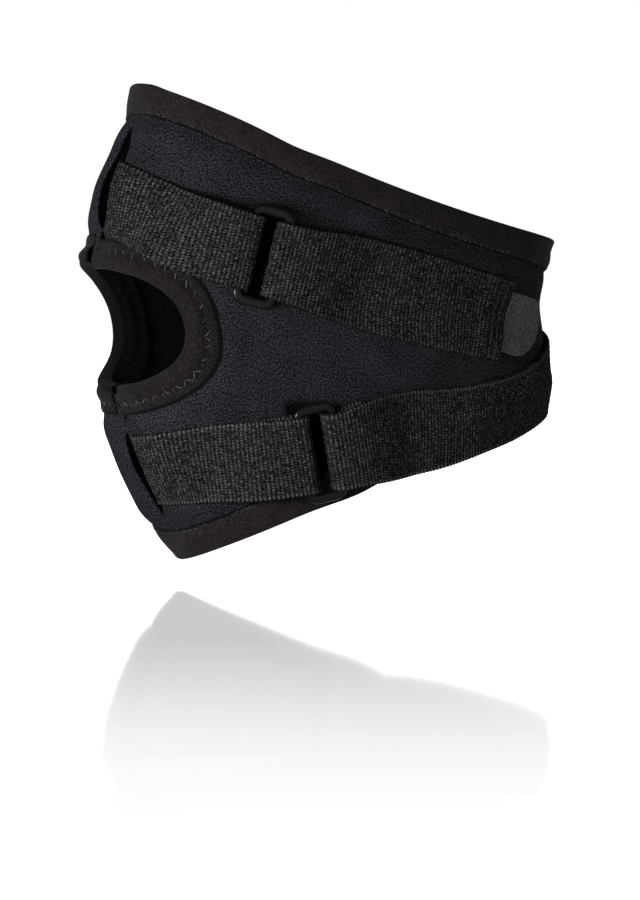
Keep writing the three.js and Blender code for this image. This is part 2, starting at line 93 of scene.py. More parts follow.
# Kneecap opening, as finished inside its binding
OPENING_LEVEL = 0.49
OPENING_POWER = 2.1
OPENING_BAND_SEAM = 9.8
OPENING_BAND_SIDE = 11.6
NEAR_HALF = {"side": 1, "depth": 36, "half_height": 19.2, "raise": 0, "flare": 1.8, "start": 0.2}
FAR_HALF = {"side": -1, "depth": 31.6, "half_height": 20.2, "raise": 1, "flare": 2.6, "start": 3}
OPENING_SIZES = ("depth", "half_height", "raise", "start")
FLARE_REACH = 6
FLARE_ANGLES = (0.75, 1.57)
OUTLINE_STEPS = 600
RIM_MARGIN = 1
RING_ENDS = (0.33, 0.655)
RING_END_GAP = 0.55
RING_END_REACH = 0.03

# Straps, loops and hook tabs
STRAP = 1.4
STRAP_REST = 0.25
BINDING_RISE = 0.9
STAND_FROM = (100, 140)
STAND_TO = (225, 190)
STAND_TAPER = (1.6, -0.3)
SLOT_WIDTH = 7.2
SLOT_FAR = 4.6
SLOT_BLEND = 14
SLOT_RISE = (1, 1.75)
SQUARE_AFTER = 4
TUCK_LENGTH = 11
TUCK_LIFT = -7
LOOP_LENGTH = 33.4
LOOP_WIDTH = 14.2
LOOP_BAR = 2.6
LOOP_END = 3.4
LOOP_THICK = 2.4
LOOP_CORNER = 4.2
LOOP_POWER = 3
LOOP_LIFT = 4.95
LOOP_SIDES = 24
CORNER_POINTS = 12
TURN_RADIUS = 3.1
RETURN_LENGTH = 12
RISE_LENGTH = 34
FLAT_REACH = 36
TAB = 1
TAB_LIFT = 0.2
TAB_WIDTH = 20.6
TAB_UNDER = 9
TAB_RAMP = (-4, 1)
TAB_LENGTH = 22.3
TAB_LEAN = 5
TAB_CORNER = 9
RIB_PITCH = 1.35
STEPS_PER_RIB = 4
RIB_HEIGHT = 0.3
BEAD_PITCH = 0.95
LEAST_BEAD = 0.25
BEAD_VALLEY = 0.15
SELVEDGE = 0.15
SELVEDGE_WIDTH = 1
SELVEDGE_BLEND = 0.8
# Share of the face height on a strap's round edges: it rounds them a little and darkens them as painted shade
# along the edges
ROUND_EDGE_HEIGHT_AND_SHADE = 0.25
GROOVE_DEPTH = 0.4
GROOVE_WIDTH = 0.6
WOVEN_POINTS = 108
PLAIN_POINTS = 26
BACK_POINTS = 14
ROUND_POINTS = 5
LINE_POINTS = {"rise": 40, "turn": 30, "tail": 10, "slot": 60, "long": 200, "tab": 60}
REST_LIFT = STRAP_REST + STRAP / 2
BAR_OFFSET = (LOOP_WIDTH - LOOP_BAR) / 2

# Stitches
THREAD = 0.2
THREAD_ARCH = 1.3
THREAD_SINK = 0.5
THREAD_TAPER = 0.04
STITCH_PULL = 0.22
PULL_SPREAD = 1.2
STITCH_STRAY = 0.25
STITCH_SINK = 0.22
END_ROWS = (5.6, 3)
END_MARGIN = 1.5
END_DASH = 2.4
END_SINK = 0.25

# Colours, as linear light
NEOPRENE_COLOUR = (0.0070, 0.0067, 0.0083)
BINDING_COLOUR = (0.0052, 0.0039, 0.0051)
FLAP_COLOUR = (0.0043, 0.0040, 0.0051)
ELASTIC_COLOUR = (0.0056, 0.0056, 0.0057)
LOOP_COLOUR = (0.0018, 0.0018, 0.0018)
HOOK_COLOUR = (0.046, 0.046, 0.0465)
THREAD_COLOUR = (0.017, 0.0155, 0.0175)
HEM_THREAD_COLOUR = (0.0095, 0.0085, 0.0098)
# Thread inside the sleeve, darker as painted shade
SHADED_INSIDE_THREAD_COLOUR = (0.004, 0.0038, 0.0042)
FLOOR_COLOUR = (0.02, 0.02, 0.02)
FLOOR_ROUGHNESS = 0.05

# Glow of the floor, from near the brace to far from it, and the distances in metres between which it grows
FLOOR_GLOW = (0.57, 1)
GLOW_REACH = (0.235, 0.6)


def columns(names, rows):
    """A table with named columns, each an array."""
    return dict(zip(names.split(), np.array(rows, float).T))


# Sections of the sleeve from its lower edge, level 0, to its upper edge, level 1
SECTIONS = columns(
    "level front_x back_x half_width sag front_power far_bulge",
    [
        (0.0, -50.8, 80.5, 36, 4.8, 1.0, 1.2),
        (0.1, -58.5, 81, 38.5, 4, 0.75, 5.2),
        (0.25, -69.5, 81.5, 40, 3, 0.64, 4.2),
        (0.37, -72.7, 81.5, 40.5, 2, 0.63, 3.2),
        (0.5, -78.5, 81, 41, 0, 0.63, 0.3),
        (0.62, -79.5, 81, 41.5, -2, 0.61, 0),
        (0.78, -77.5, 82, 41.5, -4.5, 0.6, 0.3),
        (0.88, -70.5, 83.2, 40.3, -6.3, 0.67, 1.2),
        (0.95, -66.5, 83.9, 39, -7.4, 0.76, 0.3),
        (1.0, -66.3, 85.4, 38.2, -8.2, 0.86, 0),
    ],
)

# Drift of the front seam to the far side at some levels, and its reach round the sleeve
SEAM_DRIFT = columns("level shift", [(0.28, 0), (0.37, 1.5), (0.5, 1.6), (0.7, 1.6), (0.92, 3), (1.0, 3)])
SEAM_REACH = 14

# Middle line and width of each strap
UPPER_PATH = columns(
    "girth level width",
    [
        (-10, 0.785, 22),
        (2, 0.774, 22.5),
        (10, 0.759, 24.2),
        (21, 0.742, 24),
        (40, 0.705, 25),
        (61.4, 0.68, 24.8),
        (76, 0.664, 26),
        (92, 0.642, 29.4),
        (110, 0.606, 30.4),
        (127, 0.567, 29.4),
        (151.4, 0.495, 27),
        (180, 0.4, 26.5),
    ],
)
LOWER_PATH = columns(
    "girth level width",
    [
        (-10, 0.193, 25),
        (8, 0.189, 25.4),
        (22, 0.184, 26),
        (40, 0.171, 26.4),
        (57, 0.151, 26.2),
        (70, 0.134, 26),
        (78, 0.124, 26.4),
        (86, 0.12, 27.4),
        (94, 0.111, 28.4),
        (106, 0.091, 28.8),
        (120, 0.062, 27),
        (136, 0.041, 24.4),
        (160, 0.03, 23.2),
        (182, 0.078, 24.4),
        (204, 0.195, 26),
        (226, 0.33, 26),
        (246, 0.42, 27),
        (272, 0.5, 27),
    ],
)

# Each strap's path, its slot in the seam, in levels, the girths of its loop and of its cut end, the
# loop's turn from square in degrees, the slope at which the long piece bends up from the loop, the lean of
# the cut end, how far the strap stands off where it bends round the back, and how strongly its edge ribs show
UPPER = dict(
    path=UPPER_PATH,
    name="upper",
    slot=(0.7, 0.925),
    loop=61.4,
    turn=2,
    bend=0,
    end=151.4,
    lean=1.4,
    stand=0.3,
    edge=0.45,
)
LOWER = dict(
    path=LOWER_PATH,
    name="lower",
    slot=(0.08, 0.265),
    loop=70,
    turn=6.5,
    bend=0.17,
    end=246,
    lean=0,
    stand=1.8,
    edge=0.75,
)

# Way of an anchor strap through its slot: share of the slot's width, and share of the rise to its rest
SLOT_WAY = columns(
    "share rise",
    [(-1.2, 0), (0, 0), (0.4, 0.11), (0.63, 0.42), (0.82, 0.8), (1.15, 0.975), (1.75, 1)],
)

# Slow waves of the soft wall: height in millimetres, and waves round and up the sleeve
WALL_WAVES = columns(
    "height round up phase",
    [(0.45, 3, 0.7, 0.4), (0.3, 5, -1.3, 2.1), (0.22, 8, 1.9, 4.0), (0.14, 13, -2.6, 1.2)],
)


def mix(a, b, t):
    """Value between a, where t is 0, and b, where it is 1."""
    return a + (b - a) * t


def ease(start, stop, at):
    """Smooth step from 0 at start to 1 at stop."""
    t = np.clip((at - start) / (stop - start), 0, 1)
    return t * t * (3 - 2 * t)


def hill(middle, width, at):
    """Bell that is 1 at its middle."""
    return np.exp(-(((at - middle) / width) ** 2))


def unit(vectors):
    return vectors / np.linalg.norm(vectors, axis=-1, keepdims=True)


def dot(a, b):
    return np.sum(a * b, axis=-1)


def squarish(value, power):
    """A sine or cosine for a rounded square, which is a circle at power 2."""
    return np.sign(value) * np.abs(value) ** (2 / power)


def lengths_along(line):
    """Length from the start of a line to each of its points."""
    return np.concatenate([[0], np.cumsum(np.linalg.norm(np.diff(line, axis=0), axis=1))])


def smooth(table, column, at):
    """Smooth value of a column at a value of the first one, straight on past the table's ends."""
    xs = next(iter(table.values()))
    ys = table[column]
    last = len(xs) - 1
    before = np.maximum(np.arange(last + 1) - 1, 0)
    after = np.minimum(np.arange(last + 1) + 1, last)
    slopes = (ys[after] - ys[before]) / (xs[after] - xs[before])
    i = np.clip(np.searchsorted(xs, at, side="right") - 1, 0, last - 1)
    span = xs[i + 1] - xs[i]
    share = (at - xs[i]) / span
    t = np.clip(share, 0, 1)
    start = (2 * t - 3) * t * t + 1
    bend = span * t * (t - 1) * ((t - 1) * slopes[i] + t * slopes[i + 1])
    beyond = span * (share - t) * np.where(share < 0, slopes[0], slopes[last])
    return start * ys[i] + (1 - start) * ys[i + 1] + bend + beyond


def section_point(turn, level):
    """Point of the sleeve's outer face. turn is 0 at the front seam and pi at the back."""
    turn, level = np.broadcast_arrays(np.asarray(turn, float), np.asarray(level, float))
    value = {name: smooth(SECTIONS, name, level) for name in SECTIONS}
    front_z = mix(FRONT_BOTTOM_Z, FRONT_TOP_Z, level)
    back_z = mix(BACK_BOTTOM_Z, BACK_TOP_Z, level)
    sine = np.abs(np.sin(turn))
    back = (1 - np.cos(turn)) / 2
    half_x = (value["back_x"] - value["front_x"]) / 2
    half_z = (back_z - front_z) / 2
    sag = value["sag"] * sine**2 / np.hypot(half_x, half_z)
    power = mix(value["front_power"], BACK_POWER, back)
    bulge = value["far_bulge"] * np.sin(pi * np.sqrt(np.clip(-turn / FAR_SPAN, 0, 1))) ** 2
    x = mix(value["front_x"], value["back_x"], back) - sag * half_z - bulge
    y = -np.sign(turn) * value["half_width"] * sine**power
    z = mix(front_z, back_z, back) + sag * half_x
    return np.stack([x, y, z], axis=-1)


# Arc length along the middle section from the seam to each even step of turn
ARC_TURNS = np.linspace(0, pi, ARC_STEPS)
ARC = lengths_along(section_point(ARC_TURNS, MIDDLE_LEVEL))
HALF_GIRTH = ARC[-1]
GIRTH = 2 * HALF_GIRTH


def from_seam(girth):
    """The same girth counted from the seam, negative on the far side."""
    return girth - GIRTH * np.round(np.asarray(girth) / GIRTH)


def edge_wave(form, girth):
    return form["depth"] * hill(form["girth"], form["width"], girth)


def outer(girth, level):
    """Point of the sleeve's outer face, before the soft form of its wall."""
    wrapped = from_seam(girth)
    wrapped = wrapped - np.interp(level, *SEAM_DRIFT.values()) * hill(0, SEAM_REACH, wrapped)
    rise = edge_wave(LOWER_RISE, wrapped) * (1 - level) ** WAVE_POWER
    rise = rise - edge_wave(LOWER_DROP, wrapped) * np.clip(1 - level, 0, 1) ** DROP_POWER
    dip = (edge_wave(UPPER_DIP, wrapped) + edge_wave(SECOND_DIP, wrapped)) * np.asarray(level) ** WAVE_POWER
    shifted = level + (rise - dip) / (FRONT_TOP_Z - FRONT_BOTTOM_Z)
    return section_point(np.sign(wrapped) * np.interp(np.abs(wrapped), ARC, ARC_TURNS), shifted)


def grain(girth, level):
    """Directions of growing girth and level on the outer face, and the outward normal."""
    reach = 0.5
    share = reach / (FRONT_TOP_Z - FRONT_BOTTOM_Z)
    around = (outer(girth + reach, level) - outer(girth - reach, level)) / (2 * reach)
    up = (outer(girth, level + share) - outer(girth, level - share)) / (2 * share)
    return around, up, unit(np.cross(around, up))


HEIGHT_GIRTHS = np.linspace(-HALF_GIRTH, HALF_GIRTH, HEIGHT_STEPS)
HEIGHTS = np.linalg.norm(outer(HEIGHT_GIRTHS, 1) - outer(HEIGHT_GIRTHS, 0), axis=1)


def height(girth):
    """Way from the lower edge to the upper edge."""
    return np.interp(from_seam(girth), HEIGHT_GIRTHS, HEIGHTS)


def opening_distance(girth, level):
    """About how far a point lies outside the finished kneecap opening."""
    side = from_seam(girth)
    half = {name: np.where(side < 0, FAR_HALF[name], NEAR_HALF[name]) for name in OPENING_SIZES}
    x = np.maximum(np.abs(side) - half["start"], 0.01)
    y = (level - OPENING_LEVEL) * height(girth) - half["raise"]
    size = ((x / half["depth"]) ** OPENING_POWER + (np.abs(y) / half["half_height"]) ** OPENING_POWER) ** (
        1 / OPENING_POWER
    )
    return np.hypot(x, y) * (1 - 1 / np.maximum(size, 0.05))


def edge_distances(girth, level):
    """Distances from the upper edge, the lower edge and the opening, each with its binding's width."""
    tall = height(girth)
    return (
        ((1 - level) * tall, TOP_BAND - EDGE_REACH),
        (level * tall, BOTTOM_BAND - EDGE_REACH),
        (opening_distance(girth, level), OPENING_BAND_SIDE),
    )


def relief(girth, level):
    """Form of the soft wall: slow waves, a pinch where each binding is sewn on and a swelling beside it."""
    girth, level = np.broadcast_arrays(np.asarray(girth, float), np.asarray(level, float))
    lift = np.zeros(girth.shape)
    inner = ease(0, WAVE_FADE, level) * ease(1, 1 - WAVE_FADE, level)
    for rise, around, up, phase in zip(*WALL_WAVES.values()):
        lift += inner * rise * np.sin(2 * pi * (around * girth / GIRTH + up * level) + phase)
    for distance, band in edge_distances(girth, level):
        swelling = SWELLING["height"] * hill(band + SWELLING["beyond"], SWELLING["width"], distance)
        pinch = PINCH["depth"] * hill(band, PINCH["width"], distance)
        lift += swelling - pinch
    return lift


def covered(girth, level):
    """Share of a binding's thickness under a point, from 0 to 1."""
    share = np.zeros(np.broadcast(girth, level).shape)
    for distance, band in edge_distances(girth, level):
        share = np.maximum(share, ease(band + RISE_BEYOND, band - RISE_WITHIN, distance))
    return share


def place(girth, level, lift):
    """Point at a lift above the soft wall."""
    _, _, normal = grain(girth, level)
    return outer(girth, level) + normal * (lift + relief(girth, level))[..., None]


def add_object(name, data):
    thing = bpy.data.objects.new(name, data)
    bpy.context.collection.objects.link(thing)
    return thing


def add_mesh(name, points, faces, material, cloth):
    """One closed mesh, turned outwards, with its place on the cloth, in millimetres, at each point."""
    points = points.reshape(-1, 3)
    mesh = bpy.data.meshes.new(name)
    mesh.from_pydata((points * MM).tolist(), [], faces)
    mesh.update()
    mesh.calc_loop_triangles()
    corners = np.empty(3 * len(mesh.loop_triangles), int)
    mesh.loop_triangles.foreach_get("vertices", corners)
    a, b, c = points[corners.reshape(-1, 3)].transpose(1, 0, 2)
    if dot(a, np.cross(b, c)).sum() < 0:
        mesh.flip_normals()
    mesh.polygons.foreach_set("use_smooth", np.ones(len(mesh.polygons), bool))
    mesh.set_sharp_from_angle(angle=math.radians(SHARP_ANGLE))
    mesh.attributes.new("cloth", "FLOAT_VECTOR", "POINT").data.foreach_set(
        "vector", np.asarray(cloth, np.float32).ravel()
    )
    mesh.materials.append(material)
    piece = add_object(name, mesh)
    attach(piece, "root")
    return piece


def sweep_faces(stations, sides, closed):
    """Faces of a skin over rings of points, with a cap at each end unless it closes on itself."""
    spans = stations if closed else stations - 1
    i, j = np.meshgrid(np.arange(spans), np.arange(sides), indexing="ij")
    here = i * sides
    there = (i + 1) % stations * sides
    k = (j + 1) % sides
    faces = np.stack([here + j, there + j, there + k, here + k], axis=-1).reshape(-1, 4).tolist()
    if not closed:
        faces.append(list(range(sides))[::-1])
        faces.append(list(range((stations - 1) * sides, stations * sides)))
    return faces


def slot_opening(level):
    """How far the seam's edges stand back at a level, as a share of the slots' greatest width."""
    width = np.zeros(np.shape(level))
    for strap in (UPPER, LOWER):
        low, high = strap["slot"]
        share = np.clip((level - low) / (high - low), 0, 1)
        width += np.sin(pi * share) ** 0.5
    for end in RING_ENDS:
        width += RING_END_GAP * hill(end, RING_END_REACH, level)
    return width


def sleeve_panel(material):
    """The neoprene wall, one sheet bent round from one edge of the front seam to the other."""
    fine = np.linspace(SEAM_GAP / 2, FINE_REACH, FINE_STEPS)
    coarse = np.linspace(FINE_REACH, GIRTH - FINE_REACH, COARSE_STEPS)
    girths = np.concatenate([fine, coarse[1:-1], GIRTH - fine[::-1]])
    levels = np.linspace(0, 1, LEVEL_STEPS)
    girth, level = np.meshgrid(girths, levels, indexing="ij")
    edge = np.minimum(girth, GIRTH - girth) - SEAM_GAP / 2
    girth = girth + slot_opening(level) * (
        SLOT_WIDTH * ease(SLOT_BLEND, 0, girth) - SLOT_FAR * ease(SLOT_BLEND, 0, GIRTH - girth)
    )
    cells = np.s_[:-1, :-1], np.s_[1:, :-1], np.s_[1:, 1:], np.s_[:-1, 1:]
    margin = EDGE_REACH + RIM_MARGIN
    distance = opening_distance(girth, level)
    open_cells = sum(distance[c] for c in cells) / 4 < margin
    kept = np.zeros(girth.shape, bool)
    dropped = np.zeros(girth.shape, bool)
    for c in cells:
        kept[c] |= ~open_cells
        dropped[c] |= open_cells
    rim = kept & dropped
    side = from_seam(girth[rim])
    tall = height(girth[rim])
    up = (level[rim] - OPENING_LEVEL) * tall
    radius = np.hypot(side, up)
    scale = (radius - opening_distance(girth[rim], level[rim]) + margin) / radius
    girth[rim] += side * (scale - 1)
    level[rim] = OPENING_LEVEL + up * scale / tall
    index = np.arange(girth.size).reshape(girth.shape)
    quads = np.stack([index[c] for c in cells], axis=-1)[~open_cells]
    start = quads.ravel()
    stop = np.roll(quads, -1, axis=1).ravel()
    border = ~np.isin(start * girth.size + stop, stop * girth.size + start)
    walls = np.stack([stop, start, start + girth.size, stop + girth.size], axis=-1)[border]
    faces = np.concatenate([quads, quads[:, ::-1] + girth.size, walls])
    used, faces = np.unique(faces, return_inverse=True)
    roll = EDGE_ROLL * ease(EDGE_ROLL_REACH, 0, edge)
    sides = [place(girth, level, -roll), place(girth, level, roll - WALL)]
    points = np.concatenate([s.reshape(-1, 3) for s in sides])[used]
    tall = (level - OPENING_LEVEL) * height(girth)
    cloth = [np.stack([girth, tall, np.full(girth.shape, lift)], axis=-1) for lift in (0.0, -WALL)]
    cloth = np.concatenate([c.reshape(-1, 3) for c in cloth])[used]
    return add_mesh("sleeve", points, faces.reshape(-1, 4).tolist(), material, cloth)


def offset(line, by):
    """The same line in the plane, moved sideways."""
    way = unit(np.gradient(line, axis=0))
    return line + np.stack([-way[:, 1], way[:, 0]], axis=1) * np.asarray(by)[..., None]


def fold_line(reach, crown, crest):
    """Outer line of a strip folded over an edge: x is the way into the sleeve from its cut edge, y the lift.

    The strip is crowned from its fold to the crest's end, and flat from there to its sewn edge.
    """
    into = np.linspace(reach, FOLD_DEPTH - EDGE_REACH, FACE_POINTS)
    swell = crown * np.sin(pi * np.clip(into / crest, 0, 1))
    lift = BAND_LIFT + swell - BAND_EDGE_DROP * ease(BAND_EDGE_START, 1, into / reach)
    top = np.stack([into, lift], axis=1)
    turn = np.linspace(pi / 2, -pi / 2, FOLD_POINTS + 2)[1:-1]
    bulge = squarish(np.cos(turn), FOLD_POWER)
    side = squarish(np.sin(turn), FOLD_POWER)
    half = WALL / 2 + lift[-1]
    fold = np.stack([FOLD_DEPTH - EDGE_REACH - FOLD_DEPTH * bulge, half * side - WALL / 2], axis=1)
    under = np.stack([into[::-1], -WALL - lift[::-1]], axis=1)
    return np.concatenate([top, fold, under])


def edge_band(end):
    """Mapping of the binding round the upper edge, end 1, or the lower edge, end -1."""
    edge_level = 1 if end > 0 else 0
    return lambda along, into, lift: place(along, edge_level - end * into / height(along), lift)


def opening_outline(half, angle, margin):
    """Outline of the kneecap opening on one side, grown by some margin: its girth and its way up."""

    def at(a):
        sideways = half["depth"] * squarish(np.cos(a), OPENING_POWER)
        upwards = half["half_height"] * squarish(np.sin(a), OPENING_POWER)
        return np.stack([sideways, upwards], axis=-1)

    quarter = pi / 2
    reach = 0.02
    tangent = unit(at(np.minimum(angle + reach, quarter)) - at(np.maximum(angle - reach, -quarter)))
    ends = ease(quarter - 4 * reach, quarter, np.abs(angle))
    sideways = tangent[..., 1] * (1 - ends)
    upwards = mix(-tangent[..., 0], np.sign(angle), ends)
    away = unit(np.stack([sideways, upwards], axis=-1))
    point = at(angle) + away * np.asarray(margin)[..., None]
    return half["side"] * (half["start"] + point[..., 0]), half["raise"] + point[..., 1]


def opening_band(half):
    """Mapping of the binding round one half of the kneecap opening, and its length."""
    angles = np.linspace(-pi / 2, pi / 2, OUTLINE_STEPS)
    girth, up = opening_outline(half, angles, np.full(OUTLINE_STEPS, OPENING_BAND_SEAM / 2))
    line = outer(girth, OPENING_LEVEL + up / height(girth))
    lengths = lengths_along(line)
    widening = (OPENING_BAND_SIDE - EDGE_REACH) / (OPENING_BAND_SEAM - EDGE_REACH) - 1

    def band(along, into, lift):
        angle = np.interp(along, lengths, angles)
        into, angle = np.broadcast_arrays(into, angle)
        wide = np.where(into > 0, into * (1 + widening * np.cos(angle) ** 2), into)
        girth, up = opening_outline(half, angle, EDGE_REACH + wide)
        flare = half["flare"] * ease(*FLARE_ANGLES, angle) * ease(FLARE_REACH, 0, into)
        return place(girth, OPENING_LEVEL + up / height(girth), lift + flare)

    return band, lengths[-1]


def binding(name, band, length, line, stitch, closed, material):
    """Cloth folded over an edge, drawn in a little at every stitch."""
    ring = np.concatenate([line, offset(line, np.full(len(line), CLOTH))[::-2]])
    outside = np.arange(len(ring)) < len(line)
    spread = lengths_along(line)
    spread = np.concatenate([spread, spread[::-2]])
    count = int(length / BAND_STEP)
    along = np.arange(count) * length / count if closed else np.linspace(0, length, count + 1)
    along, into = np.meshgrid(along, ring[:, 0], indexing="ij")
    middle, half_width, pitch = stitch
    beat = 1 + np.cos(2 * pi * along / pitch)
    pull = STITCH_PULL * hill(middle, PULL_SPREAD * half_width, into) * beat * outside
    lift = ring[:, 1] - pull * np.sign(ring[:, 1] + WALL / 2)
    points = band(along, into, lift)
    cloth = np.stack([along, np.broadcast_to(spread, along.shape), lift], axis=-1)
    stations, sides = along.shape
    faces = sweep_faces(stations, sides, closed)
    return add_mesh(name, points, faces, material, cloth)


def threads(name, starts, stops, surface, material):
    """Short threads from each start to each stop on a surface, their ends sunk into it."""
    rings = 7
    sides = 6
    probe = 0.2
    share = np.linspace(0, 1, rings)[None, :, None]
    way = mix(starts[:, None], stops[:, None], share)
    arch = way[..., 2] + THREAD * (THREAD_ARCH * np.sin(pi * share[..., 0]) ** 0.5 - THREAD_SINK)
    middle = surface(way[..., 0], way[..., 1], arch)
    above = unit(surface(way[..., 0], way[..., 1], arch + probe) - middle)
    tangent = unit(np.gradient(middle, axis=1))
    across = unit(np.cross(tangent, above))
    above = np.cross(across, tangent)
    turn = np.linspace(0, 2 * pi, sides, endpoint=False)
    radius = THREAD * np.sqrt(np.sin(pi * np.linspace(THREAD_TAPER, 1 - THREAD_TAPER, rings)))
    spoke = across[:, :, None] * np.cos(turn)[:, None] + above[:, :, None] * np.sin(turn)[:, None]
    points = middle[:, :, None] + spoke * radius[:, None, None]
    one = sweep_faces(rings, sides, False)
    faces = [[corner + i * rings * sides for corner in face] for i in range(len(starts)) for face in one]
    cloth = np.broadcast_to(way[:, :, None], points.shape)
    add_mesh(name, points, faces, material, cloth)


def zigzag(length, stitch):
    """Starts and stops of zigzag stitches, each a little astray and every second one sunk."""
    middle, half_width, pitch = stitch
    count = int(length / pitch)
    along = (np.arange(2 * count + 1) + 0.5) * length / (2 * count + 2)
    into = np.where(np.arange(len(along)) % 2, middle + half_width, middle - half_width)
    corners = np.stack([along, into, np.full(len(along), -THREAD / 2)], axis=1)
    stray = np.random.default_rng(len(corners)).uniform(-1, 1, corners.shape)
    corners += stray * STITCH_STRAY * np.array([1, half_width, 1])
    sunk = np.zeros((len(corners) - 1, 3))
    sunk[1::2, 2] = STITCH_SINK
    return corners[:-1] - sunk, corners[1:] - sunk


def band_stitches(name, band, length, line, stitch, material):
    """The zigzag line that holds a binding, as it shows outside and inside the sleeve."""
    starts, stops = zigzag(length, stitch)
    into_face, lift_face = line[FACE_POINTS - 1 :: -1].T

    def outside(along, into, lift):
        return band(along, into, np.interp(into, into_face, lift_face) - STITCH_PULL + lift)

    def inside(along, into, lift):
        return band(along, into, STITCH_PULL - WALL - np.interp(into, into_face, lift_face) - lift)

    threads(name, starts, stops, outside, material)
    threads(name + "_inside", starts, stops, inside, INSIDE_SEWING)


def strap_frame(strap, girth):
    """Frame of a strap: its level, ways round, up and out of the sleeve, along and across it, and width."""
    path = strap["path"]
    level = smooth(path, "level", girth)
    slope = (smooth(path, "level", girth + 1) - smooth(path, "level", girth - 1)) / 2
    around, up, normal = grain(girth, level)
    along = unit(around + up * slope[..., None])
    square = np.cross(normal, along)
    across = unit(mix(unit(up), square, ease(SLOT_WIDTH, SQUARE_AFTER * SLOT_WIDTH, girth)[..., None]))
    return level, around, up, normal, along, across, smooth(path, "width", girth)


def loop_axes(strap):
    """Flat frame at a strap's loop: its middle, the ways along the strap and its bars, and the way out."""
    girth = np.array(float(strap["loop"]))
    level, _, _, normal, along, across, _ = strap_frame(strap, girth)
    turn = math.radians(strap["turn"])
    bars = across * math.cos(turn) + np.cross(normal, across) * math.sin(turn)
    return outer(girth, level) + normal * LOOP_LIFT, along, bars, normal


def leaning(strap, girth, shift):
    """Girth of a point near a strap's cut end, moved along as the cut leans."""
    share = 2 * shift / smooth(strap["path"], "width", girth)
    cut = strap["lean"] * ease(strap["end"] - TAB_LENGTH, strap["end"], girth)
    tab = TAB_LEAN * ease(strap["end"], strap["end"] + TAB_LENGTH / 2, girth)
    return girth + (cut + tab) * share


def strap_point(strap, girth, shift, lift):
    """Point of a strap: shift runs across it in millimetres, and lift is from what the strap lies on."""
    girth = leaning(strap, girth, shift)
    level, around, up, _, _, across, _ = strap_frame(strap, girth)
    a = dot(around, around)
    b = dot(around, up)
    c = dot(up, up)
    p = shift * dot(across, around)
    q = shift * dot(across, up)
    spread = a * c - b * b
    side_girth = girth + (c * p - b * q) / spread
    side_level = level + (a * q - b * p) / spread
    rise = BINDING_RISE * covered(side_girth, side_level) * ease(*SLOT_RISE, girth / SLOT_WIDTH)
    share = 2 * shift / smooth(strap["path"], "width", girth)
    stand = strap["stand"] * ease(*STAND_FROM, girth) * ease(*STAND_TO, girth) * ease(*STAND_TAPER, share)
    bent = place(side_girth, side_level, lift + rise + stand)
    middle, along, bars, normal = loop_axes(strap)
    from_loop = girth - strap["loop"]
    bent_up = shift + strap["bend"] * np.maximum(from_loop - BAR_OFFSET, 0)
    flat = middle + along * from_loop[..., None] + bars * bent_up[..., None]
    flat = flat + normal * (lift - LOOP_LIFT)[..., None]
    weight = ease(FLAT_REACH, LOOP_WIDTH / 2, np.abs(from_loop))
    return mix(bent, flat, weight[..., None])


def turn_round_bar(bar, way):
    """Line of a strap, girth and lift, that rises to a bar, turns round it and lies back underneath."""
    back = np.linspace(RISE_LENGTH, LOOP_BAR, LINE_POINTS["rise"])
    rise = mix(REST_LIFT, LOOP_LIFT + TURN_RADIUS, ease(RISE_LENGTH, LOOP_BAR, back))
    turn = np.linspace(pi / 2, -pi / 2, LINE_POINTS["turn"])
    tail = np.linspace(LOOP_BAR, RETURN_LENGTH, LINE_POINTS["tail"])
    girth = np.concatenate([bar + way * back, bar - way * TURN_RADIUS * np.cos(turn), bar + way * tail])
    under = np.full(len(tail), LOOP_LIFT - TURN_RADIUS)
    lift = np.concatenate([rise, LOOP_LIFT + TURN_RADIUS * np.sin(turn), under])
    return np.stack([girth, lift], axis=1)


def anchor_line(strap):
    """Short piece of a strap: tucked in behind the seam, out through the slot and on to the loop."""
    girth = np.linspace(-TUCK_LENGTH, SLOT_WAY["share"][-1] * SLOT_WIDTH, LINE_POINTS["slot"])
    rise = np.clip(smooth(SLOT_WAY, "rise", girth / SLOT_WIDTH), 0, 1)
    slot = np.stack([girth, mix(TUCK_LIFT, REST_LIFT, rise)], axis=1)
    return np.concatenate([slot, turn_round_bar(strap["loop"] - BAR_OFFSET, -1)])


def long_line(strap):
    """Long piece of a strap, from its turn round the loop to its cut end on the hook tab."""
    turned = turn_round_bar(strap["loop"] + BAR_OFFSET, 1)[::-1]
    girth = np.linspace(turned[-1, 0], strap["end"], LINE_POINTS["long"])[1:]
    tab_start = strap["end"] - TAB_UNDER
    lift = REST_LIFT + (TAB + TAB_LIFT) * ease(tab_start + TAB_RAMP[0], tab_start + TAB_RAMP[1], girth)
    return np.concatenate([turned, np.stack([girth, lift], axis=1)])


def evenly(line, step):
    """The same line in even steps, and the length along it."""
    lengths = lengths_along(line)
    along = np.linspace(0, lengths[-1], int(lengths[-1] / step) + 1)
    return np.stack([np.interp(along, lengths, line[:, i]) for i in (0, 1)], axis=1), along


def weave(along, shift, half, edge):
    """Height of the woven face, 0 to 1: ribs across the strap, rows of uneven beads, plain at their ends."""
    uneven = np.random.default_rng(len(along))
    row = np.floor(along / RIB_PITCH).astype(int)
    slip = uneven.uniform(0, BEAD_PITCH, row.max() + 1)[row]
    bead_at = (shift + half + slip) / BEAD_PITCH
    column = np.floor(bead_at).astype(int)
    size = uneven.uniform(LEAST_BEAD, 1, (row.max() + 1, column.max() + 1))[row, column]
    rib = (1 - np.cos(2 * pi * along / RIB_PITCH)) / 2
    bead = (1 - np.cos(2 * pi * bead_at)) / 2
    plain = ease(half - SELVEDGE_WIDTH - SELVEDGE_BLEND, half - SELVEDGE_WIDTH, np.abs(shift))
    return rib * mix(size * mix(BEAD_VALLEY, 1, bead), edge, plain)


